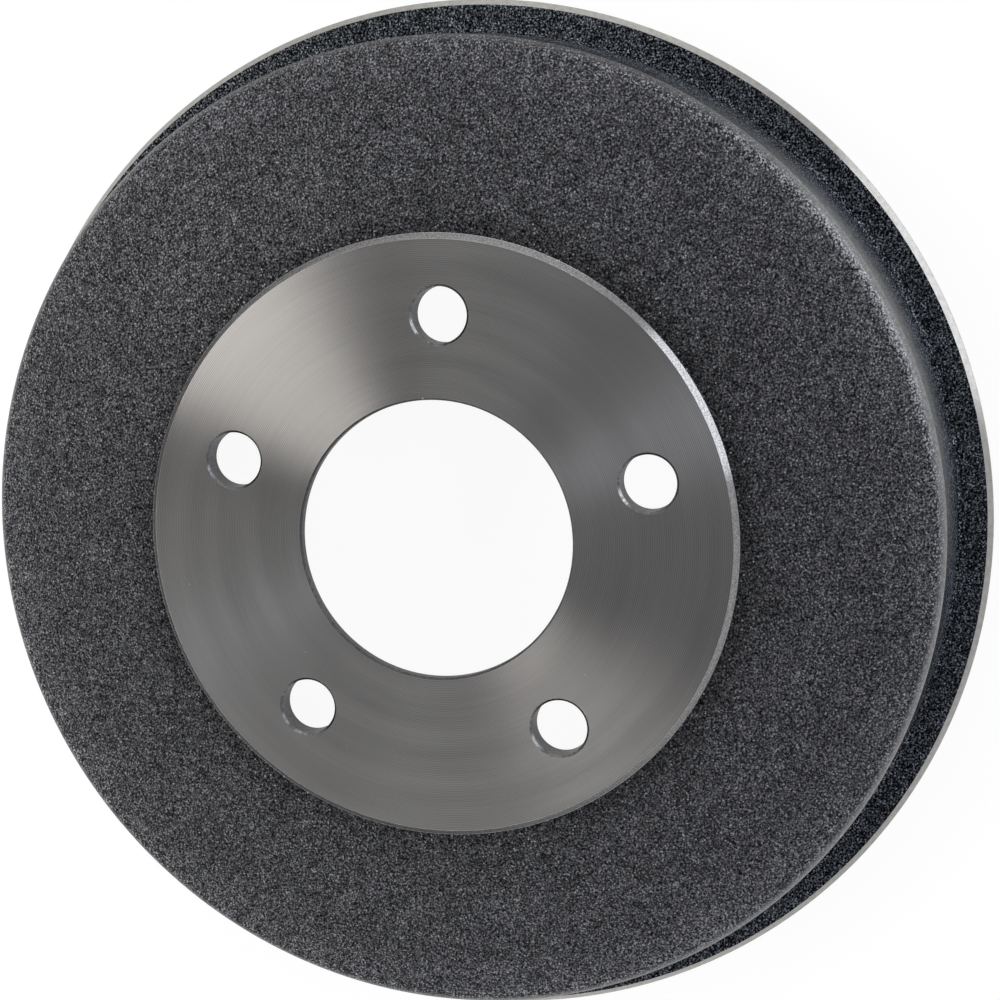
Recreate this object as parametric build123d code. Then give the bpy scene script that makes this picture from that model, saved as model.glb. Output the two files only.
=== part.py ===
from build123d import *
import os
from math import isclose, radians, tan

# Brake drum: one grey iron casting, turned and drilled where it works.
#
# Millimetres, +Z up along the drum's axis. The drum stands on the rim of its
# open mouth at z = 0, with the axis at x = y = 0 and the wheel pad on top. One
# stud hole lies on +X. Heights below the pad are counted down from its face,
# heights of the flange and the lip are counted up from the mouth rim.

# Whole drum
OVERALL_HEIGHT = 56.0         # mouth rim to the face of the wheel pad

# Friction ring and the barrel around it
FRICTION_DIAMETER = 228.6     # turned inside of the barrel, 9 in
BARREL_WALL = 12.4            # friction face to the cast outside at the shoulder
BARREL_DRAFT = 3.9            # degrees by which the barrel widens towards the flange
RELIEF_DEPTH = 0.8            # cast recess that the turning tool runs out into
RELIEF_WIDTH = 8.0            # recess, counted down from the inside of the web
INSIDE_CORNER_RADIUS = 6.0    # cast corner between the web and the barrel

# Flange and lip at the open end
FLANGE_REACH = 23.2           # friction face to the flange's turned edge
FLANGE_THICKNESS = 5.0
FLANGE_EDGE_CHAMFER = 1.5
FLANGE_ROOT = 2.5             # cast slope that fills the corner behind the flange
LIP_LENGTH = 12.6             # how far the ring runs on below the flange
LIP_WALL = 9.8                # friction face to the outside of the lip
MOUTH_LEAD_IN = 1.2           # chamfer that guides the shoes in
MOUTH_OUTER_CHAMFER = 0.8

# Dished web with its turned wheel pad
PAD_DIAMETER = 152.2          # flat face that the wheel sits on
PAD_STEP = 1.6                # how far the pad stands above the cast web
PAD_EDGE_WIDTH = 1.5          # sloping turned edge round the pad
WEB_FALL = 5.4                # web, from the pad's foot down to the bend
WEB_WALL = 7.0                # cast web, measured along the axis
BEND_INSET = 1.1              # bend in the web, inside the friction face
SHOULDER_FALL = 3.3           # web, from the bend down to the shoulder
SHOULDER_RADIUS = 4.0         # rounded edge between the web and the barrel

# Hub seat, pilot bore and stud holes
HUB_SEAT_DIAMETER = 154.0     # turned recess inside that the hub flange enters
HUB_SEAT_MARGIN = 4.0         # flat cast ring left round the recess
HUB_SEAT_CHAMFER = 1.0
PAD_THICKNESS = 6.0           # iron between the wheel pad and the hub seat
PILOT_BORE_DIAMETER = 71.5    # centres the drum on the hub
PILOT_FRONT_CHAMFER = 0.5
PILOT_LEAD_IN = 3.3           # chamfer on the hub side, clears the hub's root
STUD_COUNT = 5
STUD_CIRCLE_DIAMETER = 114.3
STUD_HOLE_DIAMETER = 14.3
STUD_HOLE_CHAMFER = 0.6       # on the wheel side

# Radii and heights that follow from the sizes above
FRICTION_RADIUS = FRICTION_DIAMETER / 2
RELIEF_RADIUS = FRICTION_RADIUS + RELIEF_DEPTH
SHOULDER_CORNER_RADIUS = FRICTION_RADIUS + BARREL_WALL
FLANGE_RADIUS = FRICTION_RADIUS + FLANGE_REACH
LIP_RADIUS = FRICTION_RADIUS + LIP_WALL
PAD_RADIUS = PAD_DIAMETER / 2
PAD_FOOT_RADIUS = PAD_RADIUS + PAD_EDGE_WIDTH
HUB_SEAT_RADIUS = HUB_SEAT_DIAMETER / 2
PILOT_RADIUS = PILOT_BORE_DIAMETER / 2
STUD_HOLE_RADIUS = STUD_HOLE_DIAMETER / 2

FLANGE_REAR_HEIGHT = LIP_LENGTH
FLANGE_FRONT_HEIGHT = FLANGE_REAR_HEIGHT + FLANGE_THICKNESS
PAD_FOOT_HEIGHT = OVERALL_HEIGHT - PAD_STEP
BEND_HEIGHT = PAD_FOOT_HEIGHT - WEB_FALL
SHOULDER_HEIGHT = BEND_HEIGHT - SHOULDER_FALL
HUB_SEAT_HEIGHT = OVERALL_HEIGHT - PAD_THICKNESS
WEB_INSIDE_HEIGHT = PAD_FOOT_HEIGHT - WEB_WALL
INSIDE_CORNER_HEIGHT = BEND_HEIGHT - WEB_WALL
FRICTION_TOP_HEIGHT = INSIDE_CORNER_HEIGHT - RELIEF_WIDTH

# Cylinders stand on their lower end, centred on the drum's axis
UPWARD = (Align.CENTER, Align.CENTER, Align.MIN)


def rounded_line(corners: list[tuple[float, float, float]]) -> Wire:
    """A line through corners given as radius, height and rounding. Its ends stay sharp."""
    points = [(radius, height) for radius, height, _ in corners]
    roundings = [rounding for _, _, rounding in corners[1:-1]]
    return FilletPolyline(*points, radius=roundings)


def outside_line() -> Wire:
    """Outer half of the section, from the axis over the pad and down to the mouth rim."""
    barrel_length = SHOULDER_HEIGHT - FLANGE_FRONT_HEIGHT - FLANGE_ROOT
    barrel_foot_radius = SHOULDER_CORNER_RADIUS + barrel_length * tan(radians(BARREL_DRAFT))
    return rounded_line([
        (0, OVERALL_HEIGHT, 0),
        (PAD_RADIUS, OVERALL_HEIGHT, 0),
        (PAD_FOOT_RADIUS, PAD_FOOT_HEIGHT, 0),
        (FRICTION_RADIUS - BEND_INSET, BEND_HEIGHT, 0),
        (SHOULDER_CORNER_RADIUS, SHOULDER_HEIGHT, SHOULDER_RADIUS),
        (barrel_foot_radius, FLANGE_FRONT_HEIGHT + FLANGE_ROOT, 0),
        (barrel_foot_radius + FLANGE_ROOT, FLANGE_FRONT_HEIGHT, 0),
        (FLANGE_RADIUS, FLANGE_FRONT_HEIGHT, 0),
        (FLANGE_RADIUS, FLANGE_REAR_HEIGHT, 0),
        (LIP_RADIUS, FLANGE_REAR_HEIGHT, 0),
        (LIP_RADIUS, 0, 0),
    ])


def inside_line() -> Wire:
    """Inner half of the section, from the mouth rim up the friction face to the axis."""
    return rounded_line([
        (FRICTION_RADIUS, 0, 0),
        (FRICTION_RADIUS, FRICTION_TOP_HEIGHT, 0),
        (RELIEF_RADIUS, FRICTION_TOP_HEIGHT, 0),
        (RELIEF_RADIUS, INSIDE_CORNER_HEIGHT, INSIDE_CORNER_RADIUS),
        (HUB_SEAT_RADIUS + HUB_SEAT_MARGIN, WEB_INSIDE_HEIGHT, 0),
        (0, WEB_INSIDE_HEIGHT, 0),
    ])


def revolved_drum() -> Part:
    """The drum's section turned once round the axis, still without its centre holes."""
    with BuildPart() as drum:
        with BuildSketch(Plane.XZ):
            with BuildLine():
                outside_line()
                Line((LIP_RADIUS, 0), (FRICTION_RADIUS, 0))
                inside_line()
                Line((0, WEB_INSIDE_HEIGHT), (0, OVERALL_HEIGHT))
            make_face()
        revolve(axis=Axis.Z)
    return drum.part


def hub_seat_recess() -> Part:
    """The flat recess turned into the back of the web, open towards the hub."""
    depth = HUB_SEAT_HEIGHT - WEB_INSIDE_HEIGHT
    recess = Cylinder(HUB_SEAT_RADIUS, depth, align=UPWARD)
    return Pos(0, 0, WEB_INSIDE_HEIGHT) * recess


def centre_holes() -> Part:
    """The pilot bore and the ring of stud holes, as drilled through the web."""
    pilot = Cylinder(PILOT_RADIUS, OVERALL_HEIGHT, align=UPWARD)
    stud = Cylinder(STUD_HOLE_RADIUS, OVERALL_HEIGHT, align=UPWARD)
    return pilot + PolarLocations(STUD_CIRCLE_DIAMETER / 2, STUD_COUNT) * stud


def rims(drum: Part, radius: float, height: float) -> ShapeList[Edge]:
    """The drum's round edges of one radius at one height."""
    circles = drum.edges().filter_by(GeomType.CIRCLE)
    return circles.filter_by(
        lambda edge: isclose(edge.radius, radius, abs_tol=1e-4)
        and isclose(edge.arc_center.Z, height, abs_tol=1e-4)
    )


def with_turned_edges(drum: Part) -> Part:
    """The drum with the chamfers that the lathe and the drill leave on its edges."""
    edge_chamfers = [
        (FLANGE_RADIUS, FLANGE_FRONT_HEIGHT, FLANGE_EDGE_CHAMFER),
        (FLANGE_RADIUS, FLANGE_REAR_HEIGHT, FLANGE_EDGE_CHAMFER),
        (FRICTION_RADIUS, 0, MOUTH_LEAD_IN),
        (LIP_RADIUS, 0, MOUTH_OUTER_CHAMFER),
        (HUB_SEAT_RADIUS, WEB_INSIDE_HEIGHT, HUB_SEAT_CHAMFER),
        (PILOT_RADIUS, OVERALL_HEIGHT, PILOT_FRONT_CHAMFER),
        (PILOT_RADIUS, HUB_SEAT_HEIGHT, PILOT_LEAD_IN),
        (STUD_HOLE_RADIUS, OVERALL_HEIGHT, STUD_HOLE_CHAMFER),
    ]
    for radius, height, size in edge_chamfers:
        drum = chamfer(rims(drum, radius, height), size)
    return drum


def brake_drum() -> Part:
    """The finished drum."""
    blank = revolved_drum() - hub_seat_recess() - centre_holes()
    return with_turned_edges(blank)


os.makedirs("parts", exist_ok=True)
export_step(brake_drum(), "parts/brake_drum.step")
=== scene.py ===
"""Looks of a brake drum, a single grey iron casting seen from its wheel side.

The casting is rough and coated where it was left as cast, and bare bright
metal where it was turned or drilled. Its whole skin is one closed mesh: the
section of the drum is drawn once, swept round the axis by a node tree, and
drilled by a second one. Lengths in the fields are millimetres, as on the
drawing of the part, and meshes are made in metres.
"""

import functools
import logging
import math
from dataclasses import dataclass, field, replace
from enum import IntEnum

import bmesh
import bpy
from bpy.types import ID, Material, Mesh, MeshPolygon, Node, NodeTree, Object
from bpy.types import NodeSocket as Socket
from mathutils import Matrix, Vector


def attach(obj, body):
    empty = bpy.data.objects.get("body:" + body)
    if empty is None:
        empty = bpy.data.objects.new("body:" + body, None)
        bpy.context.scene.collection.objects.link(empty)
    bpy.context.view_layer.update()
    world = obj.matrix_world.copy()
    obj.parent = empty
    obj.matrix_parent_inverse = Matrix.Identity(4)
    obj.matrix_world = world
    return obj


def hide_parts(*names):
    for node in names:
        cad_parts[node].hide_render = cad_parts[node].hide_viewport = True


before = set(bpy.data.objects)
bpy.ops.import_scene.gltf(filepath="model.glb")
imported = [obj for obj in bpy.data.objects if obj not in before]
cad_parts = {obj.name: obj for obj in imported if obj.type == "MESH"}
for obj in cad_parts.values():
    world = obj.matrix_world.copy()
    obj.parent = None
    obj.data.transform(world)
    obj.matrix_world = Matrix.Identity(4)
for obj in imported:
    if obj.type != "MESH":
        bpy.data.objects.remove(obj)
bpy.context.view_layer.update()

log = logging.getLogger("brake_drum")
MM = 0.001
Pair = tuple[float, float]
Triple = tuple[float, float, float]
Profile = list[Pair]


def new_object(name: str, data: ID) -> Object:
    """Adds an object with this data to the scene."""
    made = bpy.data.objects.new(name, data)
    bpy.context.scene.collection.objects.link(made)
    return made


class Finish(IntEnum):
    """How one stretch of the drum's skin was left, in the order of the mesh's material slots."""

    CAST = 0
    TURNED = 1
    TURNED_EDGE = 2
    BORED = 3
    DRILLED = 4
    FLANGE_EDGE = 5
    DRILLED_EDGE = 6


# ---------------------------------------- node helpers


class Wiring:
    """Places nodes in one tree and joins them, so that the trees below read as lists of steps."""

    def __init__(self, tree: NodeTree) -> None:
        """Takes hold of the tree that the nodes go into."""
        self.tree = tree
        self.column = 0

    def node(self, kind: str, inputs: dict | None = None, **settings: object) -> Node:
        """Adds one node.

        Args:
            kind: Blender's name of the node type.
            inputs: by socket name or index, a value or the output socket that feeds it.
            **settings: the node's own properties, which are set before its inputs.

        Returns:
            The new node.
        """
        made = self.tree.nodes.new(kind)
        self.column += 1
        made.location = (self.column % 12 * 190, -(self.column // 12) * 320)
        for name, value in settings.items():
            setattr(made, name, value)
        self.feed(made, inputs or {})
        return made

    def feed(self, node: Node, inputs: dict) -> None:
        """Fills a node's inputs.

        Args:
            node: the node.
            inputs: by socket name or index, a value or the output socket that feeds it.
        """
        for name, value in inputs.items():
            if isinstance(value, Socket):
                self.tree.links.new(value, node.inputs[name])
            else:
                node.inputs[name].default_value = value

    def step(self, kind: str, inputs: dict | None = None, **settings: object) -> Socket:
        """Adds one node, as above, and gives its first output."""
        return self.node(kind, inputs, **settings).outputs[0]

    def math(self, operation: str, *numbers: Socket | float) -> Socket:
        """One sum on numbers, named as Blender names it, such as DIVIDE."""
        return self.step("ShaderNodeMath", dict(enumerate(numbers)), operation=operation)

    def times(self, *factors: Socket | float) -> Socket:
        """The product of two numbers or more."""
        return functools.reduce(lambda product, factor: self.math("MULTIPLY", product, factor), factors)

    def vector(self, operation: str, *values: Socket | Triple) -> Socket:
        """One sum on vectors, named as Blender names it. LENGTH and DOT_PRODUCT give a number."""
        made = self.node("ShaderNodeVectorMath", dict(enumerate(values)), operation=operation)
        return made.outputs["Value" if operation in ("LENGTH", "DOT_PRODUCT") else "Vector"]

    def ramp(self, value: Socket, low: float, high: float, bottom: float = 0.0, top: float = 1.0) -> Socket:
        """A value taken from the range low to high into the range bottom to top, and held inside it."""
        inputs = {"Value": value, "From Min": low, "From Max": high, "To Min": bottom, "To Max": top}
        return self.step("ShaderNodeMapRange", inputs, clamp=True)

    def noise(self, place: Socket, scale: Socket | float, detail: float, roughness: float) -> Socket:
        """Soft noise, about a half on average, with so many cells to the metre and finer layers on them."""
        inputs = {"Vector": place, "Scale": scale, "Detail": detail, "Roughness": roughness}
        return self.step("ShaderNodeTexNoise", inputs)

    def blend(self, share: Socket | float, first: object, second: object) -> Socket:
        """Two colours, or the sockets that give them, mixed by a share that is 1 for the second."""
        inputs = {"Factor": share, 6: first, 7: second}
        return self.node("ShaderNodeMix", inputs, data_type="RGBA").outputs[2]


# ---------------------------------------- effects shared by the finishes


class Effects:
    """The shader node groups that more than one finish uses."""

    def __init__(self) -> None:
        """Builds every group once."""
        self.sand_grain = self._sand_grain()
        self.tool_marks = self._tool_marks()
        self.dings = self._dings()
        self.ring_mask = self._ring_mask()

    @staticmethod
    def _begin(name: str, *numbers: str) -> tuple[Wiring, bpy.types.bpy_prop_collection]:
        """Starts a group that reads a point and some numbers.

        Args:
            name: the group's name.
            *numbers: the names of the numbers. The point is named Vector.

        Returns:
            The group's wiring, and the sockets that give its inputs.
        """
        group = bpy.data.node_groups.new(name, "ShaderNodeTree")
        for label in ("Vector", *numbers):
            kind = "NodeSocketVector" if label == "Vector" else "NodeSocketFloat"
            group.interface.new_socket(label, in_out="INPUT", socket_type=kind)
        return Wiring(group), group.nodes.new("NodeGroupInput").outputs

    @staticmethod
    def _end(wire: Wiring, outputs: dict[str, Socket]) -> NodeTree:
        """Ends a group with its outputs, all of them numbers.

        Args:
            wire: the group's wiring.
            outputs: by output name, the socket that feeds it.

        Returns:
            The group.
        """
        for label in outputs:
            wire.tree.interface.new_socket(label, in_out="OUTPUT", socket_type="NodeSocketFloat")
        wire.node("NodeGroupOutput", outputs)
        return wire.tree

    def _sand_grain(self) -> NodeTree:
        """The skin that sand moulds leave: packed grains and pits that gather into small clumps.

        Returns:
            The group. Tone is a factor for the colour, about 1, Glint marks the grains that catch
            the light, Patches drifts slowly from 0 to 1, and Height is for a bump.
        """
        sizes = ("Grain Size", "Clump Size", "Patch Size")
        wire, given = self._begin("sand grain", *sizes, "Contrast")
        fine_weight, clump_weight, dome_weight, bump_share = 4.6, 0.6, 0.9, 0.25
        dome_reach, dome_levels, darkest, skew = 0.75, (0.55, -0.45), 0.3, 4.8
        glint_chances, glint_levels, patch_levels = (0.948, 0.985), (-0.2, 0.4), (0.3, 0.7)
        place = given["Vector"]
        fine_scale, clump_scale, patch_scale = (wire.math("DIVIDE", 1 / MM, given[size]) for size in sizes)
        fine = wire.math("SUBTRACT", wire.noise(place, fine_scale, detail=3.0, roughness=0.78), 0.5)
        clumps = wire.math("SUBTRACT", wire.noise(place, clump_scale, detail=1.0, roughness=0.6), 0.5)
        patches = wire.noise(place, patch_scale, detail=3.0, roughness=0.55)
        cells = wire.node("ShaderNodeTexVoronoi", {"Vector": place, "Scale": fine_scale})
        chance = wire.node("ShaderNodeSeparateColor", {"Color": cells.outputs["Color"]}).outputs[1]
        domed = wire.ramp(cells.outputs["Distance"], 0.0, dome_reach, *dome_levels)
        packed = wire.math("ADD", wire.times(fine, fine_weight), wire.times(clumps, clump_weight))
        packed = wire.math("ADD", packed, wire.times(domed, dome_weight))
        level = wire.math("MAXIMUM", wire.math("MULTIPLY_ADD", packed, given["Contrast"], 1.0), darkest)
        return self._end(
            wire,
            {
                "Tone": wire.math("POWER", level, skew),
                "Glint": wire.times(wire.ramp(chance, *glint_chances), wire.ramp(domed, *glint_levels)),
                "Patches": wire.ramp(patches, *patch_levels),
                "Height": wire.times(packed, bump_share),
            },
        )

    def _tool_marks(self) -> NodeTree:
        """The fine rings that a lathe tool leaves round the axis, in slow bands of finer and coarser.

        Returns:
            The group. Feed (one wave to a turn of the feed), Rings and Bands run from 0 to 1, for
            colour and roughness, and Height is for a bump.
        """
        wire, given = self._begin("tool marks", "Pitch", "Band Width", "Along Axis")
        drifts = {"Pitch": 1.6, "Band Width": 0.9}
        ring_levels, band_levels, ring_height = (0.28, 0.72), (0.25, 0.75), 0.2
        split = wire.node("ShaderNodeSeparateXYZ", {"Vector": given["Vector"]}).outputs
        flat = wire.step("ShaderNodeCombineXYZ", {"X": split["X"], "Y": split["Y"]})
        turn = wire.node("ShaderNodeSeparateXYZ", {"Vector": wire.vector("NORMALIZE", flat)}).outputs
        run = wire.math("MULTIPLY_ADD", split["Z"], given["Along Axis"], wire.vector("LENGTH", flat))
        run = wire.math("DIVIDE", run, MM)
        waves = []
        for size, drift in drifts.items():
            across = wire.math("DIVIDE", run, given[size])
            along = [wire.times(turn[axis], drift) for axis in "XY"]
            line = wire.step("ShaderNodeCombineXYZ", {"X": across, "Y": along[0], "Z": along[1]})
            waves.append(wire.noise(line, 1.0, detail=2.0, roughness=0.6))
        phase = wire.times(wire.math("DIVIDE", run, given["Pitch"]), math.tau)
        feed = wire.math("MULTIPLY_ADD", wire.math("SINE", phase), 0.5, 0.5)
        return self._end(
            wire,
            {
                "Feed": feed,
                "Rings": wire.ramp(waves[0], *ring_levels),
                "Bands": wire.ramp(waves[1], *band_levels),
                "Height": wire.math("MULTIPLY_ADD", waves[0], ring_height, feed),
            },
        )

    def _dings(self) -> NodeTree:
        """The few tiny specks that handling leaves on a bare machined face.

        Returns:
            The group. Specks is 1 in a mark and fades at its edge.
        """
        wire, given = self._begin("dings", "Spacing", "Share")
        speck_sizes, soft_edge = (0.03, 0.09), 0.5
        scale = wire.math("DIVIDE", 1 / MM, given["Spacing"])
        cells = wire.node("ShaderNodeTexVoronoi", {"Vector": given["Vector"], "Scale": scale}).outputs
        chance = wire.node("ShaderNodeSeparateColor", {"Color": cells["Color"]}).outputs
        chosen = wire.math("LESS_THAN", chance[0], given["Share"])
        reach = wire.ramp(chance[1], 0.0, 1.0, *speck_sizes)
        depth = wire.math("SUBTRACT", 1.0, wire.math("DIVIDE", cells["Distance"], reach))
        return self._end(wire, {"Specks": wire.times(wire.ramp(depth, 0.0, soft_edge), chosen)})

    def _ring_mask(self) -> NodeTree:
        """A soft step outwards from the axis, between two radii.

        Returns:
            The group. Mask is 0 at the inner radius and rises to 1 at the outer one.
        """
        wire, given = self._begin("ring mask", "Inner Radius", "Outer Radius")
        radius = wire.vector("LENGTH", wire.vector("MULTIPLY", given["Vector"], (1.0, 1.0, 0.0)))
        inner, outer = (wire.times(given[name], MM) for name in ("Inner Radius", "Outer Radius"))
        ends = {"Value": radius, "From Min": inner, "From Max": outer}
        mask = wire.step("ShaderNodeMapRange", ends, interpolation_type="SMOOTHSTEP")
        return self._end(wire, {"Mask": mask})


def new_material(name: str) -> tuple[Material, Wiring, Node]:
    """A material with one shader and nothing on it yet.

    Args:
        name: the material's name.

    Returns:
        The material, the wiring of its tree and its Principled BSDF.
    """
    made = bpy.data.materials.new(name)
    made.use_nodes = True
    shader = next(n for n in made.node_tree.nodes if n.type == "BSDF_PRINCIPLED")
    return made, Wiring(made.node_tree), shader


# ---------------------------------------- finishes


class CoatPoint:
    """What the coat's tree knows of the point that it shades: its place, and the rest in millimetres."""

    def __init__(self, wire: Wiring, effects: Effects, coat: "CoatedCasting") -> None:
        """Adds the nodes that read the point and its grain.

        Args:
            wire: the wiring of the coat's tree.
            effects: the shared node groups.
            coat: the finish, for its sizes.
        """
        self.wire, self.effects = wire, effects
        self.place = wire.node("ShaderNodeTexCoord").outputs["Object"]
        parts = wire.node("ShaderNodeSeparateXYZ", {"Vector": self.place}).outputs
        self.across, self.height = (wire.math("DIVIDE", parts[axis], MM) for axis in "XZ")
        # side: how far the point lies towards the side that gets painted shade and painted glints
        turn = math.radians(coat.painted_side_way)
        way = (math.cos(turn) / MM, math.sin(turn) / MM, 0.0)
        self.side = wire.vector("DOT_PRODUCT", self.place, way)
        self.top = wire.ramp(self.height, *coat.top_heights)
        grain = {
            "Vector": self.place,
            "Grain Size": coat.grain_size,
            "Clump Size": coat.clump_size,
            "Patch Size": coat.patch_size,
            "Contrast": wire.ramp(self.height, *coat.side_heights, coat.side_contrast, coat.contrast),
        }
        self.sand = wire.node("ShaderNodeGroup", grain, node_tree=effects.sand_grain).outputs

    def ring(self, inner: float, outer: float) -> Socket:
        """A mask that rises from 0 at one radius to 1 at a larger one."""
        values = {"Vector": self.place, "Inner Radius": inner, "Outer Radius": outer}
        return self.wire.step("ShaderNodeGroup", values, node_tree=self.effects.ring_mask)

    def beyond(self, inner: float, outer: float) -> Socket:
        """A mask that falls from 1 at one radius to 0 at a larger one."""
        return self.wire.math("SUBTRACT", 1.0, self.ring(inner, outer))


@dataclass(frozen=True)
class CoatedCasting:
    """Sand-cast iron under a thin charcoal coat, smoother and rubbed to bare metal at the shoulder, with
    painted light and shade in its colour.

    Radii, heights and places along the side or across the drum are in millimetres. Pairs are the
    two ends of a gradual change.
    """

    coat: Triple = (0.0660, 0.0665, 0.0700)
    bare: Triple = (0.42, 0.42, 0.42)
    grain_size: float = 0.55
    clump_size: float = 2.6
    patch_size: float = 16.0
    patch_tones: Pair = (0.92, 1.08)
    contrast: float = 0.43
    # the barrel's coat: bluer, and lighter as painted light that makes up for the dimmer light on its wall
    painted_lit_side_coat: Triple = (0.0880, 0.0980, 0.1090)
    side_contrast: float = 0.80
    side_heights: Pair = (26.0, 43.0)
    side_flecks: float = 0.6
    fleck_tones: Pair = (6.0, 12.0)
    rough_tones: Pair = (0.4, 2.0)
    roughness: Pair = (0.60, 0.42)
    bump_depth: float = 0.00025
    bump_strength: float = 0.6
    # painted shade round the foot of the pad: inner radius, outer radius, shade at the inner one, shade there
    # on the darker side
    painted_foot_shade_rings: tuple[tuple[float, float, float, float], ...] = (
        (77.6, 84.0, 0.66, 0.54),
        (77.6, 100.0, 0.80, 0.72),
    )
    # the way towards the side that gets painted shade on the web and round the pad, and painted glints on the
    # shoulder
    painted_side_way: float = 285.0
    foot_side: Pair = (-8.0, 64.0)
    shaded_side: Pair = (60.0, 96.0)
    painted_side_shade: float = 0.87
    # painted highlight: the coat made lighter on the band out to the shoulder
    painted_highlight_radii: Pair = (110.0, 124.5)
    top_heights: Pair = (43.0, 45.2)
    painted_highlight_gain: float = 1.34
    # painted shade on the flange, below the barrel wall
    flange_heights: Pair = (18.0, 24.0)
    painted_flange_shade: float = 0.53
    worn_from: Pair = (123.0, 124.6)
    worn_until: Pair = (124.8, 126.2)
    worn_tones: Pair = (1.5, 3.2)
    # painted glints: more bare metal along the shoulder line towards one side
    painted_side_glints: float = 1.2
    painted_glint_side: Pair = (72.0, 112.0)
    painted_glint_across: Pair = (-10.0, 50.0)
    gloss_on_grains: float = 0.12
    gloss_tones: Pair = (0.5, 2.0)
    gloss_radii: Pair = (124.2, 126.6)
    gloss_heights: Pair = (23.0, 38.0)
    gloss_patch_size: float = 1.6
    gloss_patch_levels: Pair = (0.3, 0.7)
    gloss_patches: Pair = (0.70, 1.0)
    gloss_facing: Pair = (0.918, 0.850)
    dull_across: Pair = (86.0, 119.0)
    dull_gloss: float = 0.35
    gloss_roughness: float = 0.38
    gloss_index: float = 2.5

    def material(self, effects: Effects) -> Material:
        """Builds the material.

        Args:
            effects: the shared node groups.

        Returns:
            The finished material.
        """
        made, wire, shader = new_material("coated casting")
        point = CoatPoint(wire, effects, self)
        # below the shoulder the barrel's coat, lighter as painted light
        up = wire.ramp(point.height, *self.side_heights)
        coat = wire.blend(up, (*self.painted_lit_side_coat, 1), (*self.coat, 1))
        shaded = {0: coat, "Scale": self._tone(point)}
        shaded = wire.step("ShaderNodeVectorMath", shaded, operation="SCALE")
        flecks = self._flecks(point)
        bump = {"Height": point.sand["Height"], "Distance": self.bump_depth, "Strength": self.bump_strength}
        wire.feed(
            shader,
            {
                "Base Color": wire.blend(flecks, shaded, (*self.bare, 1)),
                "Metallic": flecks,
                "Roughness": wire.ramp(point.sand["Tone"], *self.rough_tones, *self.roughness),
                "Coat Weight": self._gloss(point),
                "Normal": wire.step("ShaderNodeBump", bump),
                "Specular IOR Level": 0.0,
                "Coat Roughness": self.gloss_roughness,
                "Coat IOR": self.gloss_index,
            },
        )
        return made

    def _tone(self, point: CoatPoint) -> Socket:
        """How light the coat is.

        Args:
            point: the point that is shaded.

        Returns:
            A factor for the coat's colour: grainy, with painted shade round the pad's foot, on one side and
            on the flange, and a painted highlight towards the shoulder.
        """
        wire, sand = point.wire, point.sand
        tone = wire.times(sand["Tone"], wire.ramp(sand["Patches"], 0.0, 1.0, *self.patch_tones))
        # painted shade round the foot of the pad, deeper towards one side
        for inner, outer, shade, painted_side_shade in self.painted_foot_shade_rings:
            shade = wire.ramp(point.side, *self.foot_side, shade, painted_side_shade)
            rest = wire.math("SUBTRACT", 1.0, shade)
            tone = wire.times(tone, wire.math("MULTIPLY_ADD", point.ring(inner, outer), rest, shade))
        # where the painted highlight on the shoulder band falls
        painted_highlight_mask = wire.times(point.top, point.ring(*self.painted_highlight_radii))
        return wire.times(
            tone,
            # painted shade on one side
            wire.ramp(point.side, *self.shaded_side, 1.0, self.painted_side_shade),
            # painted highlight on the shoulder band
            wire.ramp(painted_highlight_mask, 0.0, 1.0, 1.0, self.painted_highlight_gain),
            # painted shade on the flange
            wire.ramp(point.height, *self.flange_heights, self.painted_flange_shade, 1.0),
        )

    def _flecks(self, point: CoatPoint) -> Socket:
        """Where the iron shows through the coat.

        Args:
            point: the point that is shaded.

        Returns:
            A mask of single grains, of the line rubbed along the shoulder, which has painted glints added
            towards one side, and of the barrel's flecks.
        """
        wire, sand = point.wire, point.sand
        # painted glints along the shoulder line towards one side
        painted_side_glints = wire.times(
            wire.ramp(point.side, *self.painted_glint_side, 0.0, self.painted_side_glints),
            wire.ramp(point.across, *self.painted_glint_across),
        )
        proud = wire.ramp(wire.math("ADD", sand["Tone"], painted_side_glints), *self.worn_tones)
        line = wire.times(point.ring(*self.worn_from), point.beyond(*self.worn_until))
        rubbed = wire.times(line, point.top, proud)
        below = wire.times(wire.math("SUBTRACT", 1.0, point.top), self.side_flecks)
        bright = wire.times(wire.ramp(sand["Tone"], *self.fleck_tones), below)
        return wire.math("MAXIMUM", wire.math("MAXIMUM", sand["Glint"], rubbed), bright)

    def _gloss(self, point: CoatPoint) -> Socket:
        """How much the coat shines.

        Args:
            point: the point that is shaded.

        Returns:
            A weight, small on the grains and large on the smooth shoulder and the top of the barrel.
        """
        wire = point.wire
        patches = wire.noise(point.place, 1 / MM / self.gloss_patch_size, detail=2.0, roughness=0.7)
        smooth = wire.times(
            point.ring(*self.gloss_radii),
            wire.ramp(point.height, *self.gloss_heights),
            wire.ramp(patches, *self.gloss_patch_levels, *self.gloss_patches),
            wire.ramp(point.across, *self.dull_across, 1.0, self.dull_gloss),
        )
        facing = wire.node("ShaderNodeLayerWeight", {"Blend": 0.5}).outputs["Facing"]
        grains = wire.times(wire.ramp(point.sand["Tone"], *self.gloss_tones), self.gloss_on_grains)
        return wire.times(wire.math("MAXIMUM", grains, smooth), wire.ramp(facing, *self.gloss_facing))


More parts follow.
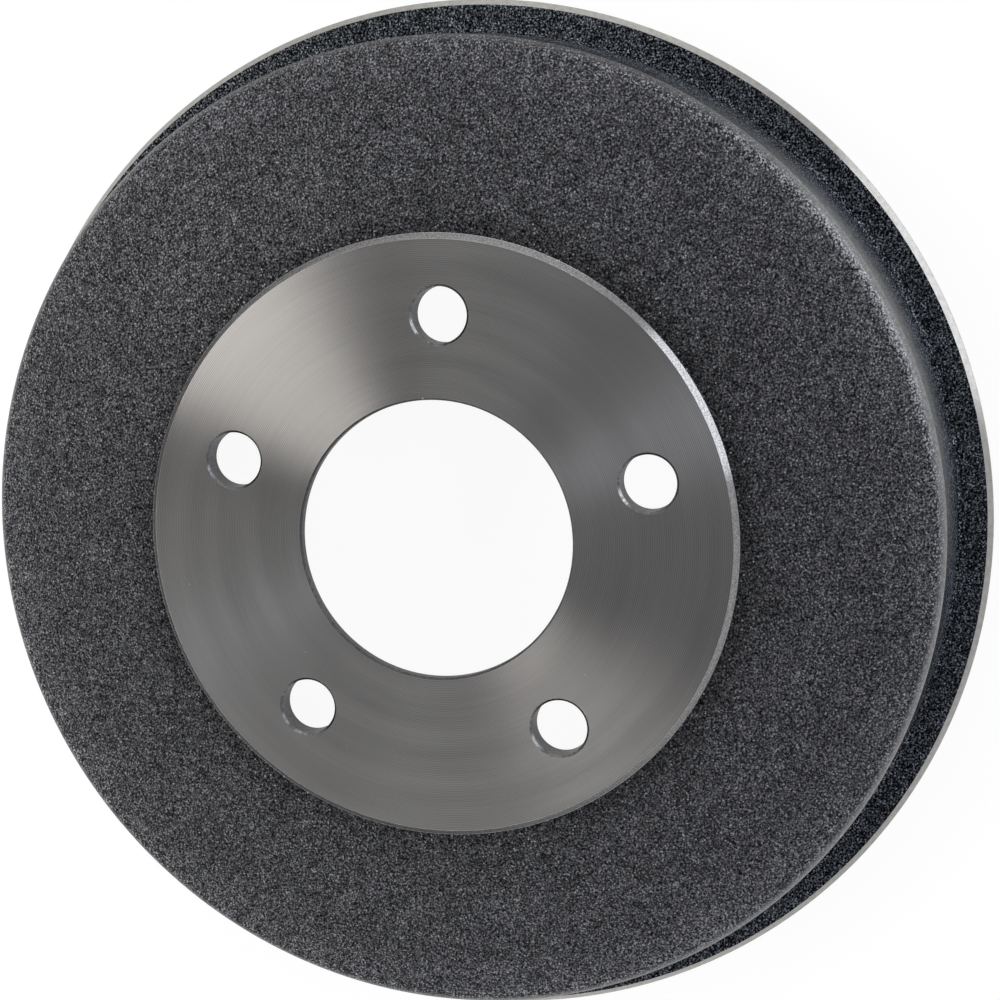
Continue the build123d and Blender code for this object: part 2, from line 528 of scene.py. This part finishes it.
@dataclass(frozen=True)
class TurnedIron:
    """Bare iron off the lathe, whose fine rings spread a highlight along the radius."""

    name: str = "turned face"
    dark: Triple = (0.271, 0.267, 0.259)
    light: Triple = (0.461, 0.454, 0.440)
    metallic: float = 1.0
    pitch: float = 0.46
    feed_share: float = 0.72
    band_share: float = 0.35
    grit: float = 0.0
    grit_size: float = 0.5
    grit_levels: Pair = (0.32, 0.68)
    band_width: float = 6.0
    along_axis: float = 0.0
    roughness: Pair = (0.285, 0.325)
    anisotropy: float = 0.92
    ring_depth: float = 0.000006
    speck_share: float = 0.07
    speck_spacing: float = 4.0
    speck_strength: float = 0.7
    speck: Triple = (0.90, 0.90, 0.90)

    def material(self, effects: Effects) -> Material:
        """Builds the material.

        Args:
            effects: the shared node groups.

        Returns:
            The finished material.
        """
        made, wire, shader = new_material(self.name)
        place = wire.node("ShaderNodeTexCoord").outputs["Object"]
        lathe = {"Pitch": self.pitch, "Band Width": self.band_width, "Along Axis": self.along_axis}
        marks = wire.node("ShaderNodeGroup", {"Vector": place, **lathe}, node_tree=effects.tool_marks).outputs
        spread = {"Vector": place, "Spacing": self.speck_spacing, "Share": self.speck_share}
        specks = wire.step("ShaderNodeGroup", spread, node_tree=effects.dings)
        rings = wire.times(marks["Rings"], 1 - self.band_share)
        tone = wire.math("MULTIPLY_ADD", marks["Bands"], self.band_share, rings)
        tone = wire.blend(self.feed_share, tone, marks["Feed"])
        if self.grit:
            grit = wire.noise(place, 1 / MM / self.grit_size, detail=2.0, roughness=0.7)
            tone = wire.blend(self.grit, tone, wire.ramp(grit, *self.grit_levels))
        colour = wire.blend(tone, (*self.dark, 1), (*self.light, 1))
        colour = wire.blend(wire.times(specks, self.speck_strength), colour, (*self.speck, 1))
        bump = {"Height": marks["Height"], "Distance": self.ring_depth, "Strength": 1.0}
        wire.feed(
            shader,
            {
                "Base Color": colour,
                "Metallic": self.metallic,
                "Roughness": wire.ramp(marks["Bands"], 0.0, 1.0, *self.roughness),
                "Normal": wire.step("ShaderNodeBump", bump),
                "Tangent": wire.step("ShaderNodeTangent", direction_type="RADIAL", axis="Z"),
                "Anisotropic": self.anisotropy,
                "Anisotropic Rotation": 0.25,
            },
        )
        return made


# ---------------------------------------- the drum's section


@dataclass(frozen=True)
class Corner:
    """One corner of the section, and how the stretch that leaves it is finished."""

    radius: float
    height: float
    rounding: float
    finish: Finish

    @property
    def place(self) -> Vector:
        """Where it is in the plane of the section."""
        return Vector((self.radius, self.height))


@dataclass
class DrumSection:
    """The closed half section of the drum, in millimetres from the axis and the mouth rim.

    Where a place has three numbers, the third is its rounding, or the seat's chamfer.
    """

    height: float = 56.0
    friction_radius: float = 114.3
    relief_from: float = 34.0
    inside_corner: Triple = (115.1, 42.0, 6.0)
    web_inside: Triple = (81.0, 47.4, 8.0)
    hub_seat: Triple = (77.0, 50.0, 1.0)
    pilot_radius: float = 35.75
    pilot_front_chamfer: float = 0.5
    pilot_lead_in: float = 3.3
    pad_edge: Triple = (76.1, 56.0, 0.12)
    pad_foot: Triple = (77.6, 54.4, 0.5)
    bend: Triple = (113.2, 49.0, 6.0)
    shoulder: Triple = (126.7, 45.7, 4.0)
    barrel_foot: Triple = (128.6, 17.6, 1.6)
    flange_radius: float = 137.5
    flange_faces: Pair = (12.6, 17.6)
    flange_chamfer: float = 1.5
    lip_radius: float = 124.1
    lip_root: float = 1.5
    mouth_lead_in: float = 1.2
    mouth_outer_chamfer: float = 0.8
    edge_breaks: Pair = (0.10, 0.15)
    arc_step: float = 9.0
    support: float = 0.3

    def corners(self) -> list[Corner]:
        """The section's corners, in order round it, from the front of the pilot bore outwards.

        Returns:
            The corners. Each gives its rounding and the finish of the stretch from it to the next one.
        """
        cast, face, edge, drilled = Finish.CAST, Finish.TURNED, Finish.TURNED_EDGE, Finish.DRILLED
        top, pilot, friction, lip = self.height, self.pilot_radius, self.friction_radius, self.lip_radius
        seat, seat_height, seat_chamfer = self.hub_seat
        flange, bevel, (rear, front) = self.flange_radius, self.flange_chamfer, self.flange_faces
        light, plain = self.edge_breaks
        corners = [
            (pilot, top - self.pilot_front_chamfer, 0, drilled),
            (pilot + self.pilot_front_chamfer, top, 0, face),
            (*self.pad_edge, edge),
            (*self.pad_foot, cast),
            (*self.bend, cast),
            (*self.shoulder, cast),
            (*self.barrel_foot, cast),
            (flange - bevel, front, plain, Finish.FLANGE_EDGE),
            (flange, front - bevel, light, Finish.FLANGE_EDGE),
            (flange, rear + bevel, light, Finish.FLANGE_EDGE),
            (flange - bevel, rear, plain, cast),
            (lip, rear, self.lip_root, cast),
            (lip, self.mouth_outer_chamfer, plain, edge),
            (lip - self.mouth_outer_chamfer, 0, light, edge),
            (friction + self.mouth_lead_in, 0, light, edge),
            (friction, self.mouth_lead_in, 0, Finish.BORED),
            (friction, self.relief_from, 0, cast),
            (self.inside_corner[0], self.relief_from, 0, cast),
            (*self.inside_corner, cast),
            (*self.web_inside, cast),
            (seat + seat_chamfer, self.web_inside[1], plain, edge),
            (seat, self.web_inside[1] + seat_chamfer, 0, edge),
            (seat, seat_height, 0, face),
            (pilot + self.pilot_lead_in, seat_height, 0, edge),
            (pilot, seat_height + self.pilot_lead_in, 0, drilled),
        ]
        return [Corner(*corner) for corner in corners]

    def runs(self) -> list[tuple[Finish, Profile]]:
        """The section cut where its finish changes, with its roundings drawn as short steps.

        Returns:
            For each run its finish and its points. A run's last point is the next one's first.
        """
        corners = self.corners()
        arcs = [
            self._rounded(corners[k - 1], here, corners[(k + 1) % len(corners)])
            for k, here in enumerate(corners)
        ]
        runs: list[tuple[Finish, Profile]] = []
        for k, corner in enumerate(corners):
            arc, ahead = arcs[k], arcs[(k + 1) % len(corners)]
            middle = len(arc) // 2
            if runs and corners[k - 1].finish == corner.finish:
                points = runs[-1][1]
                points.extend(arc[middle + 1 :])
            else:
                points = list(arc[middle:])
                runs.append((corner.finish, points))
            points.extend(self._supports(arc, ahead))
            points.extend(ahead[: len(ahead) // 2 + 1])
        return runs

    def _rounded(self, before: Corner, corner: Corner, after: Corner) -> Profile:
        """The points that stand for one corner.

        Args:
            before: the corner before it.
            corner: the corner.
            after: the corner after it.

        Returns:
            The corner itself, or an odd number of points along its rounding.
        """
        here = corner.place
        if not corner.rounding:
            return [tuple(here)]
        back, on = ((other.place - here).normalized() for other in (before, after))
        half = back.angle(on) / 2
        centre = here + (back + on).normalized() * corner.rounding / math.sin(half)
        first, last = (here + way * corner.rounding / math.tan(half) - centre for way in (back, on))
        sweep = math.copysign(math.pi - 2 * half, first.x * last.y - first.y * last.x)
        steps = max(2, 2 * math.ceil(math.degrees(abs(sweep)) / self.arc_step / 2))
        turns = [(math.cos(sweep * k / steps), math.sin(sweep * k / steps)) for k in range(steps + 1)]
        return [
            (centre.x + first.x * cos - first.y * sin, centre.y + first.x * sin + first.y * cos)
            for cos, sin in turns
        ]

    def _supports(self, arc: Profile, ahead: Profile) -> Profile:
        """Points that keep a straight flat beside the roundings at its ends.

        Args:
            arc: the points of the corner that it leaves.
            ahead: the points of the corner that it comes to.

        Returns:
            The extra points, in order.
        """
        start, end = Vector(arc[-1]), Vector(ahead[0])
        if (end - start).length < 4 * self.support:
            return []
        step = (end - start).normalized() * self.support
        made = [tuple(start + step)] if len(arc) > 1 else []
        return made + ([tuple(end - step)] if len(ahead) > 1 else [])


# ---------------------------------------- geometry trees


class GeometryTree:
    """A geometry node tree under construction, with named inputs."""

    def __init__(self, name: str, values: dict[str, int | float | Material]) -> None:
        """Makes the tree and its inputs.

        Args:
            name: the tree's name.
            values: by input name, the value that it gets. Sharp Angle has to be among them.
        """
        self.tree = bpy.data.node_groups.new(name, "GeometryNodeTree")
        self.values = values
        kinds = {int: "Int", float: "Float", Material: "Material"}
        face = self.tree.interface
        face.new_socket("Geometry", in_out="INPUT", socket_type="NodeSocketGeometry")
        for label, value in values.items():
            face.new_socket(label, in_out="INPUT", socket_type=f"NodeSocket{kinds[type(value)]}")
        face.new_socket("Geometry", in_out="OUTPUT", socket_type="NodeSocketGeometry")
        self.wire = Wiring(self.tree)
        self.inputs = self.tree.nodes.new("NodeGroupInput").outputs

    def finish(self, skin: Socket) -> None:
        """Ends the tree with smooth shading that breaks at the edges sharper than its Sharp Angle.

        Args:
            skin: the socket that gives the mesh.
        """
        wire = self.wire
        faces = {"Geometry": skin, "Shade Smooth": True}
        smooth = wire.step("GeometryNodeSetShadeSmooth", faces, domain="FACE")
        angle = wire.node("GeometryNodeInputMeshEdgeAngle").outputs["Unsigned Angle"]
        sharp = wire.math("GREATER_THAN", angle, self.inputs["Sharp Angle"])
        edges = {"Geometry": smooth, "Selection": sharp, "Shade Smooth": False}
        wire.node("NodeGroupOutput", {0: wire.step("GeometryNodeSetShadeSmooth", edges, domain="EDGE")})

    def run(self, piece: Object) -> None:
        """Runs the tree on a piece and makes the result the piece's own plain mesh.

        Args:
            piece: the object that the tree works on. It keeps no modifier.
        """
        modifier = piece.modifiers.new(self.tree.name, "NODES")
        modifier.node_group = self.tree
        sockets = {s.name: s.identifier for s in self.tree.interface.items_tree if s.in_out == "INPUT"}
        for name, value in self.values.items():
            modifier[sockets[name]] = value
        seen = piece.evaluated_get(bpy.context.evaluated_depsgraph_get())
        mesh = bpy.data.meshes.new_from_object(seen)
        piece.modifiers.remove(modifier)
        if mesh.materials and mesh.materials[0] is None:
            worn = [face.material_index - 1 for face in mesh.polygons]
            mesh.materials.pop(index=0)
            mesh.polygons.foreach_set("material_index", worn)
        piece.data = mesh


# ---------------------------------------- the drum


@dataclass(frozen=True)
class WallStrip:
    """A round wall that the UV map unrolls, known by where it is and which way it faces.

    Its strip goes above the one before it, over the map's whole width, unless it has a foot of its own.
    """

    faces_out: bool
    radii: Pair
    heights: Pair
    rise: float
    rows: int = 1
    level: bool = False
    level_from: float = 0.9
    foot: float | None = None
    left: float = 0.01
    width: float = 0.98

    def holds(self, face: MeshPolygon) -> bool:
        """Whether a face of the skin belongs to this wall."""
        place, normal = face.center / MM, face.normal
        outwards = normal.x * place.x + normal.y * place.y > 0
        turned = normal.z > self.level_from if self.level else outwards == self.faces_out
        (inner, outer), (low, high) = self.radii, self.heights
        return turned and inner < math.hypot(place.x, place.y) < outer and low < place.z < high


@dataclass(frozen=True)
class SkinMap:
    """The UV map for a baked model: the front and the back seen flat, and the walls unrolled below.

    The wheel pad is unrolled too, finer than the rest, so that its turning rings stay apart. Places
    and sizes on the map are shares of its width, and those on the drum are millimetres.
    """

    hole_circle: float
    hole_count: int
    name: str = "OFBake"
    reach: float = 138.0
    front: Triple = (0.342, 0.656, 0.340)
    back: Triple = (0.846, 0.846, 0.150)
    flat_from: float = 0.5
    inside_below: float = 40.0
    inside_radius: float = 120.0
    gap: float = 0.005
    walls: tuple[WallStrip, ...] = (
        WallStrip(True, (120.0, 133.0), (14.0, 50.0), 0.074, rows=2),
        WallStrip(True, (120.0, 133.0), (-1.0, 14.0), 0.022),
        WallStrip(True, (133.0, 139.0), (12.0, 18.0), 0.012),
        WallStrip(False, (105.0, 120.0), (-1.0, 50.0), 0.058),
        WallStrip(False, (70.0, 85.0), (45.0, 55.0), 0.008),
        WallStrip(False, (30.0, 45.0), (48.0, 55.9), 0.012),
    )
    pad: WallStrip = WallStrip(
        True, (36.0, 76.2), (55.95, 56.05), 0.360, level=True, foot=0.330, left=0.702, width=0.290
    )
    holes: WallStrip = WallStrip(False, (0.0, 0.0), (0.0, 0.0), 0.014)

    def lay(self, mesh: Mesh) -> None:
        """Adds the map to a mesh.

        Args:
            mesh: the skin of the drum.
        """
        places = mesh.uv_layers.new(name=self.name).data
        strips: dict[WallStrip, list[MeshPolygon]] = {
            wall: [] for wall in (*self.walls, self.pad, self.holes)
        }
        for face in mesh.polygons:
            place, up = face.center / MM, face.normal.z
            inside = place.z < self.inside_below and math.hypot(place.x, place.y) < self.inside_radius
            if self.pad.holds(face):
                strips[self.pad].append(face)
            elif abs(up) > self.flat_from and not (inside and up > 0):
                middle_u, middle_v, half = self.front if up > 0 else self.back
                scale = half / self.reach / MM
                for corner in face.loop_indices:
                    point = mesh.vertices[mesh.loops[corner].vertex_index].co * scale
                    places[corner].uv = (middle_u + math.copysign(1, up) * point.x, middle_v + point.y)
            else:
                strips[next((wall for wall in self.walls if wall.holds(face)), self.holes)].append(face)
        foot = self.gap
        for wall, faces in strips.items():
            self._unroll(mesh, faces, wall, wall.foot or foot)
            if wall.foot is None:
                foot += wall.rows * (wall.rise + self.gap)

    def _unroll(self, mesh: Mesh, faces: list[MeshPolygon], wall: WallStrip, foot: float) -> None:
        """Lays one wall along the map in rows, or the walls of the holes side by side.

        Args:
            mesh: the skin.
            faces: the wall's faces.
            wall: the wall, with the size of its strip.
            foot: where its first row starts.
        """
        places = mesh.uv_layers[self.name].data
        axes, circle = (self.hole_count, self.hole_circle) if wall == self.holes else (1, 0.0)
        spots = []
        for face in faces:
            number = round(math.atan2(face.center.y, face.center.x) / math.tau * axes) % axes
            turn = math.tau * number / axes
            axis = Vector((math.cos(turn), math.sin(turn), 0)) * circle * MM
            away = face.center - axis
            middle = math.atan2(away.y, away.x)
            along = middle / math.tau % 1.0 * wall.rows
            for corner in face.loop_indices:
                off = mesh.vertices[mesh.loops[corner].vertex_index].co - axis
                past = math.remainder(math.atan2(off.y, off.x) - middle, math.tau) / math.tau * wall.rows
                u = wall.left + wall.width * (along % 1.0 + past)
                spots.append((corner, (number + u) / axes, int(along), off.z + math.hypot(off.x, off.y)))
        low, high = min(run for *_, run in spots), max(run for *_, run in spots)
        for corner, u, row, run in spots:
            v = foot + row * (wall.rise + self.gap) + wall.rise * (run - low) / (high - low)
            places[corner].uv = (u, v)


@dataclass
class BrakeDrum:
    """The whole drum as one closed skin."""

    section: DrumSection = field(default_factory=DrumSection)
    steps_round: int = 240
    hole_count: int = 5
    hole_circle_radius: float = 57.15
    hole_radius: float = 7.15
    hole_chamfer: float = 0.6
    hole_sides: int = 72
    path_radius: float = 100.0
    weld: float = 0.001
    sharp_angle: float = math.radians(28)

    def build(self, finishes: dict[Finish, Material]) -> Object:
        """Builds the drum and hands it to the frame.

        Args:
            finishes: the material of each finish.

        Returns:
            The drum's object.
        """
        piece = new_object("drum_casting", self._lines())
        self._sweep_tree(finishes).run(piece)
        self._drill_tree(finishes).run(piece)
        piece.data.name = "drum_casting"
        SkinMap(self.hole_circle_radius, self.hole_count).lay(piece.data)
        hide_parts("brake_drum")
        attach(piece, "root")
        return piece

    def _sweep_tree(self, finishes: dict[Finish, Material]) -> GeometryTree:
        """The tree that turns the section round the axis and welds it into one skin.

        Args:
            finishes: the material of each finish.

        Returns:
            The tree. It takes the section's runs as loose lines, with the radius along X and the
            height along Y, and each line's finish in the attribute of that name.
        """
        made = GeometryTree(
            "turn the section",
            {
                "Steps Round": self.steps_round,
                "Path Radius": self.path_radius * MM,
                "Weld Distance": self.weld * MM,
                "Sharp Angle": self.sharp_angle,
                **{f"Finish {int(finish)}": material for finish, material in finishes.items()},
            },
        )
        wire, given = made.wire, made.inputs
        lines = wire.step("GeometryNodeMeshToCurve", {"Mesh": given["Geometry"]})
        circle = {"Resolution": given["Steps Round"], "Radius": given["Path Radius"]}
        path = wire.step("GeometryNodeCurvePrimitiveCircle", circle)
        inward = wire.step("ShaderNodeCombineXYZ", {"X": wire.times(given["Path Radius"], -1.0)})
        placed = {"Geometry": lines, "Translation": inward, "Scale": (1.0, -1.0, 1.0)}
        lines = wire.step("GeometryNodeTransform", placed)
        skin = wire.step("GeometryNodeCurveToMesh", {"Curve": path, "Profile Curve": lines})
        skin = wire.step("GeometryNodeFlipFaces", {"Mesh": skin})
        label = wire.step("GeometryNodeInputNamedAttribute", {"Name": "finish"}, data_type="INT")
        labelled = {"Geometry": skin, "Name": "face_finish", "Value": label}
        skin = wire.step("GeometryNodeStoreNamedAttribute", labelled, data_type="INT", domain="FACE")
        welded = {"Geometry": skin, "Distance": given["Weld Distance"]}
        skin = wire.step("GeometryNodeMergeByDistance", welded)
        label = wire.step("GeometryNodeInputNamedAttribute", {"Name": "face_finish"}, data_type="INT")
        for finish in Finish:
            kinds = {2: label, 3: int(finish)}
            same = wire.step("FunctionNodeCompare", kinds, data_type="INT", operation="EQUAL")
            worn = {"Geometry": skin, "Selection": same, "Material": given[f"Finish {int(finish)}"]}
            skin = wire.step("GeometryNodeSetMaterial", worn)
        made.finish(wire.step("GeometryNodeRealizeInstances", {"Geometry": skin}))
        return made

    def _drill_tree(self, finishes: dict[Finish, Material]) -> GeometryTree:
        """The tree that drills the ring of stud holes and breaks their front edges.

        Args:
            finishes: the material of each finish.

        Returns:
            The tree. It takes the skin of the drum.
        """
        made = GeometryTree(
            "drill the stud holes",
            {
                "Hole Count": self.hole_count,
                "Circle Radius": self.hole_circle_radius * MM,
                "Hole Radius": self.hole_radius * MM,
                "Hole Sides": self.hole_sides,
                "Chamfer": self.hole_chamfer * MM,
                "Front Height": self.section.height * MM,
                "Back Height": self.section.hub_seat[1] * MM,
                "Sharp Angle": self.sharp_angle,
                "Wall Finish": finishes[Finish.DRILLED],
                "Edge Finish": finishes[Finish.DRILLED_EDGE],
            },
        )
        wire, given = made.wire, made.inputs
        sides, radius, chamfer = given["Hole Sides"], given["Hole Radius"], given["Chamfer"]
        through = wire.math("SUBTRACT", given["Front Height"], given["Back Height"])
        drill = {"Vertices": sides, "Radius": radius, "Depth": wire.times(through, 3.0)}
        drill = wire.step("GeometryNodeMeshCylinder", drill)
        # a 45 degree cone that meets the wall one chamfer below the face and runs on as far past it
        cone = {
            "Vertices": sides,
            "Radius Bottom": wire.math("SUBTRACT", radius, chamfer),
            "Radius Top": wire.math("ADD", radius, wire.times(chamfer, 2.0)),
            "Depth": wire.times(chamfer, 3.0),
        }
        drop = wire.step("ShaderNodeCombineXYZ", {"Z": wire.times(chamfer, -2.0)})
        cone = {"Geometry": wire.step("GeometryNodeMeshCone", cone), "Translation": drop}
        cone = wire.step("GeometryNodeTransform", cone)
        cone, drill = (
            wire.step("GeometryNodeSetMaterial", {"Geometry": part, "Material": given[finish]})
            for part, finish in ((cone, "Edge Finish"), (drill, "Wall Finish"))
        )
        tool = wire.node("GeometryNodeMeshBoolean", {"Mesh 2": drill}, operation="UNION", solver="EXACT")
        wire.tree.links.new(cone, tool.inputs["Mesh 2"])
        circle = {"Vertices": given["Hole Count"], "Radius": given["Circle Radius"]}
        ring = wire.step("GeometryNodeMeshCircle", circle)
        lift = wire.step("ShaderNodeCombineXYZ", {"Z": given["Front Height"]})
        ring = wire.step("GeometryNodeTransform", {"Geometry": ring, "Translation": lift})
        tools = wire.step("GeometryNodeInstanceOnPoints", {"Points": ring, "Instance": tool.outputs["Mesh"]})
        tools = wire.step("GeometryNodeRealizeInstances", {"Geometry": tools})
        cut = {"Mesh 1": given["Geometry"], "Mesh 2": tools}
        made.finish(wire.step("GeometryNodeMeshBoolean", cut, operation="DIFFERENCE", solver="EXACT"))
        return made

    def _lines(self) -> Mesh:
        """The section's runs as loose lines, one for each straight step, with their finish."""
        points, edges, labels = [], [], []
        for finish, run in self.section.runs():
            for start, end in zip(run, run[1:]):
                edges.append((len(points), len(points) + 1))
                points += [(r * MM, z * MM, 0.0) for r, z in (start, end)]
                labels += [int(finish)] * 2
        mesh = bpy.data.meshes.new("section")
        mesh.from_pydata(points, edges, [])
        mesh.attributes.new("finish", "INT", "POINT").data.foreach_set("value", labels)
        return mesh


# ---------------------------------------- studio


@dataclass(frozen=True)
class Lamp:
    """A soft box that looks at the drum."""

    name: str
    azimuth: float
    tilt: float
    width: float
    height: float
    share: float
    colour: Triple = (1.0, 1.0, 1.0)
    distance: float = 1.6

    def place(self, target: Vector) -> Object:
        """Puts the lamp up.

        Args:
            target: the point that it looks at.

        Returns:
            The lamp. Its share is the light that it gives a level surface, 1 for a plain level.
        """
        data = bpy.data.lights.new(self.name, "AREA")
        data.shape = "RECTANGLE"
        data.size, data.size_y = self.width, self.height
        a, t = math.radians(self.azimuth), math.radians(self.tilt)
        way = Vector((math.cos(a) * math.sin(t), math.sin(a) * math.sin(t), math.cos(t)))
        data.color = self.colour
        data.energy = math.pi**2 * self.share * self.distance**2 / math.cos(t)
        lamp = new_object(self.name, data)
        lamp.location = target + way * self.distance
        lamp.rotation_mode = "QUATERNION"
        lamp.rotation_quaternion = way.to_track_quat("Z", "Y")
        lamp.visible_camera = False
        return lamp


@dataclass
class Studio:
    """The floor, the lamps and the camera of the photograph."""

    lens: float = 75.353
    camera_place: Triple = (0.09209, -0.14231, 0.56013)
    camera_right: Triple = (0.02133382, -0.96938073, -0.24463415)
    camera_up: Triple = (0.98791384, 0.05801545, -0.14373745)
    aim_height: float = 0.05
    floor_reach: float = 30.0
    floor_sides: int = 96
    wall_reach: float = 30.6
    wall_height: float = 8.0
    floor_glow: float = 0.93
    floor_share: float = 0.10
    room_overhead: float = 0.135
    room_sides: float = 0.60
    room_tilts: Pair = (30.0, 62.0)
    room_turn: float = 0.8
    room_left: Triple = (1.10, 1.07, 1.03)
    room_right: Triple = (0.86, 0.90, 1.11)
    lamps: tuple[Lamp, ...] = (
        Lamp("left box", 73.0, 38.5, 0.54, 0.42, 0.16, (1.04, 1.0, 0.975)),
        Lamp("right box", -66.0, 38.0, 0.42, 0.42, 0.09, (0.94, 0.98, 1.11)),
        Lamp("top panel", 2.0, 52.0, 1.10, 0.90, 0.145),
        Lamp("bottom panel", 172.0, 52.0, 1.10, 0.90, 0.075),
        Lamp("left panel", 120.0, 64.0, 1.40, 0.80, 0.11),
        Lamp("right panel", -60.0, 78.0, 1.10, 0.50, 0.045, (0.96, 0.99, 1.06)),
    )

    def build(self) -> None:
        """Puts up the camera, the lamps, the floor and the light of the room."""
        self._camera()
        for lamp in self.lamps:
            lamp.place(Vector((0, 0, self.aim_height)))
        self._floor()
        self._room()
        bpy.context.scene.view_settings.view_transform = "Standard"

    def _camera(self) -> None:
        """The camera, where the photograph was taken from."""
        data = bpy.data.cameras.new("camera")
        data.lens, data.sensor_width = self.lens, 36.0
        data.clip_start, data.clip_end = 0.01, 100.0
        camera = new_object("camera", data)
        right, up = Vector(self.camera_right), Vector(self.camera_up)
        axes = Matrix((right, up, right.cross(up))).transposed()
        camera.matrix_world = Matrix.Translation(self.camera_place) @ axes.to_4x4()
        bpy.context.scene.camera = camera

    def _floor(self) -> None:
        """A white floor that turns up into a low wall all round, far away."""
        shape = bmesh.new()
        middle = shape.verts.new((0, 0, 0))
        turns = [math.tau * k / self.floor_sides for k in range(self.floor_sides)]
        edge, top = (
            [shape.verts.new((radius * math.cos(a), radius * math.sin(a), height)) for a in turns]
            for radius, height in ((self.floor_reach, 0.0), (self.wall_reach, self.wall_height))
        )
        for k in range(self.floor_sides):
            shape.faces.new((middle, edge[k - 1], edge[k]))
            shape.faces.new((edge[k], edge[k - 1], top[k - 1], top[k]))
        mesh = bpy.data.meshes.new("floor")
        shape.to_mesh(mesh)
        shape.free()
        floor = new_object("floor", mesh)
        mesh.materials.append(self._floor_material())

    def _floor_material(self) -> Material:
        """White to the camera and in reflections, with a small share that takes shadows."""
        made, wire, shader = new_material("white floor")
        rays = wire.node("ShaderNodeLightPath").outputs
        seen = wire.math("MAXIMUM", rays["Is Camera Ray"], rays["Is Glossy Ray"])
        seen = wire.math("MAXIMUM", seen, rays["Is Transmission Ray"])
        wire.feed(
            shader,
            {
                "Base Color": (self.floor_share,) * 3 + (1,),
                "Roughness": 1.0,
                "Specular IOR Level": 0.0,
                "Emission Color": (1, 1, 1, 1),
                "Emission Strength": wire.times(seen, self.floor_glow),
            },
        )
        return made

    def _room(self) -> None:
        """The room's soft light, brighter from its sides than from overhead, and white to look at."""
        world = bpy.data.worlds.new("room")
        bpy.context.scene.world = world
        world.use_nodes = True
        wire = Wiring(world.node_tree)
        ground = next(n for n in world.node_tree.nodes if n.type == "BACKGROUND")
        way = wire.node("ShaderNodeTexCoord").outputs["Generated"]
        way = wire.node("ShaderNodeSeparateXYZ", {"Vector": way}).outputs
        seen = wire.node("ShaderNodeLightPath").outputs["Is Camera Ray"]
        turn = wire.ramp(way["Y"], -self.room_turn, self.room_turn)
        tint = wire.blend(turn, (*self.room_right, 1), (*self.room_left, 1))
        steep, low = (math.cos(math.radians(tilt)) for tilt in self.room_tilts)
        light = wire.ramp(way["Z"], steep, low, self.room_overhead, self.room_sides)
        colour = wire.blend(seen, tint, (1, 1, 1, 1))
        wire.feed(ground, {"Color": colour, "Strength": wire.math("MAXIMUM", light, seen)})


# ---------------------------------------- the scene


def turned_finishes() -> dict[Finish, TurnedIron]:
    """The bare surfaces: the faces' plain turning, and what differs on edges and in holes.

    Returns:
        The look of each finish that a tool leaves.
    """
    wall = TurnedIron("bored wall", along_axis=1.0)
    hole = replace(wall, anisotropy=0.3, grit_size=0.9)
    return {
        Finish.TURNED: TurnedIron(),
        Finish.TURNED_EDGE: replace(
            wall,
            name="turned edge",
            roughness=(0.235, 0.26),
            anisotropy=0.8,
            dark=(0.15, 0.15, 0.15),
            light=(0.40, 0.398, 0.393),
            grit=0.75,
        ),
        Finish.BORED: wall,
        Finish.DRILLED: replace(
            hole,
            name="drilled wall",
            metallic=0.30,
            roughness=(0.42, 0.50),
            dark=(0.012, 0.012, 0.012),
            light=(0.13, 0.13, 0.128),
            grit=0.6,
        ),
        Finish.DRILLED_EDGE: replace(
            hole,
            name="drilled edge",
            roughness=(0.19, 0.25),
            dark=(0.05, 0.05, 0.05),
            light=(0.27, 0.27, 0.265),
            grit=0.5,
        ),
        Finish.FLANGE_EDGE: replace(
            wall,
            name="turned flange edge",
            roughness=(0.285, 0.34),
            dark=(0.30, 0.294, 0.276),
            light=(0.60, 0.588, 0.552),
            grit=0.35,
            grit_size=1.4,
        ),
    }


def main() -> None:
    """Builds the drum and the studio, and logs the drum's size."""
    logging.basicConfig(level=logging.INFO, format="%(name)s: %(message)s")
    effects = Effects()
    coats = {Finish.CAST: CoatedCasting(), **turned_finishes()}
    finishes = {finish: coat.material(effects) for finish, coat in coats.items()}
    drum = BrakeDrum().build(finishes)
    log.info("%s: %d faces, size %s m", drum.name, len(drum.data.polygons), tuple(drum.dimensions))
    studio = Studio()
    studio.build()
    log.info("studio: %d lamps, a floor and a room", len(studio.lamps))


if __name__ == "__main__":
    main()
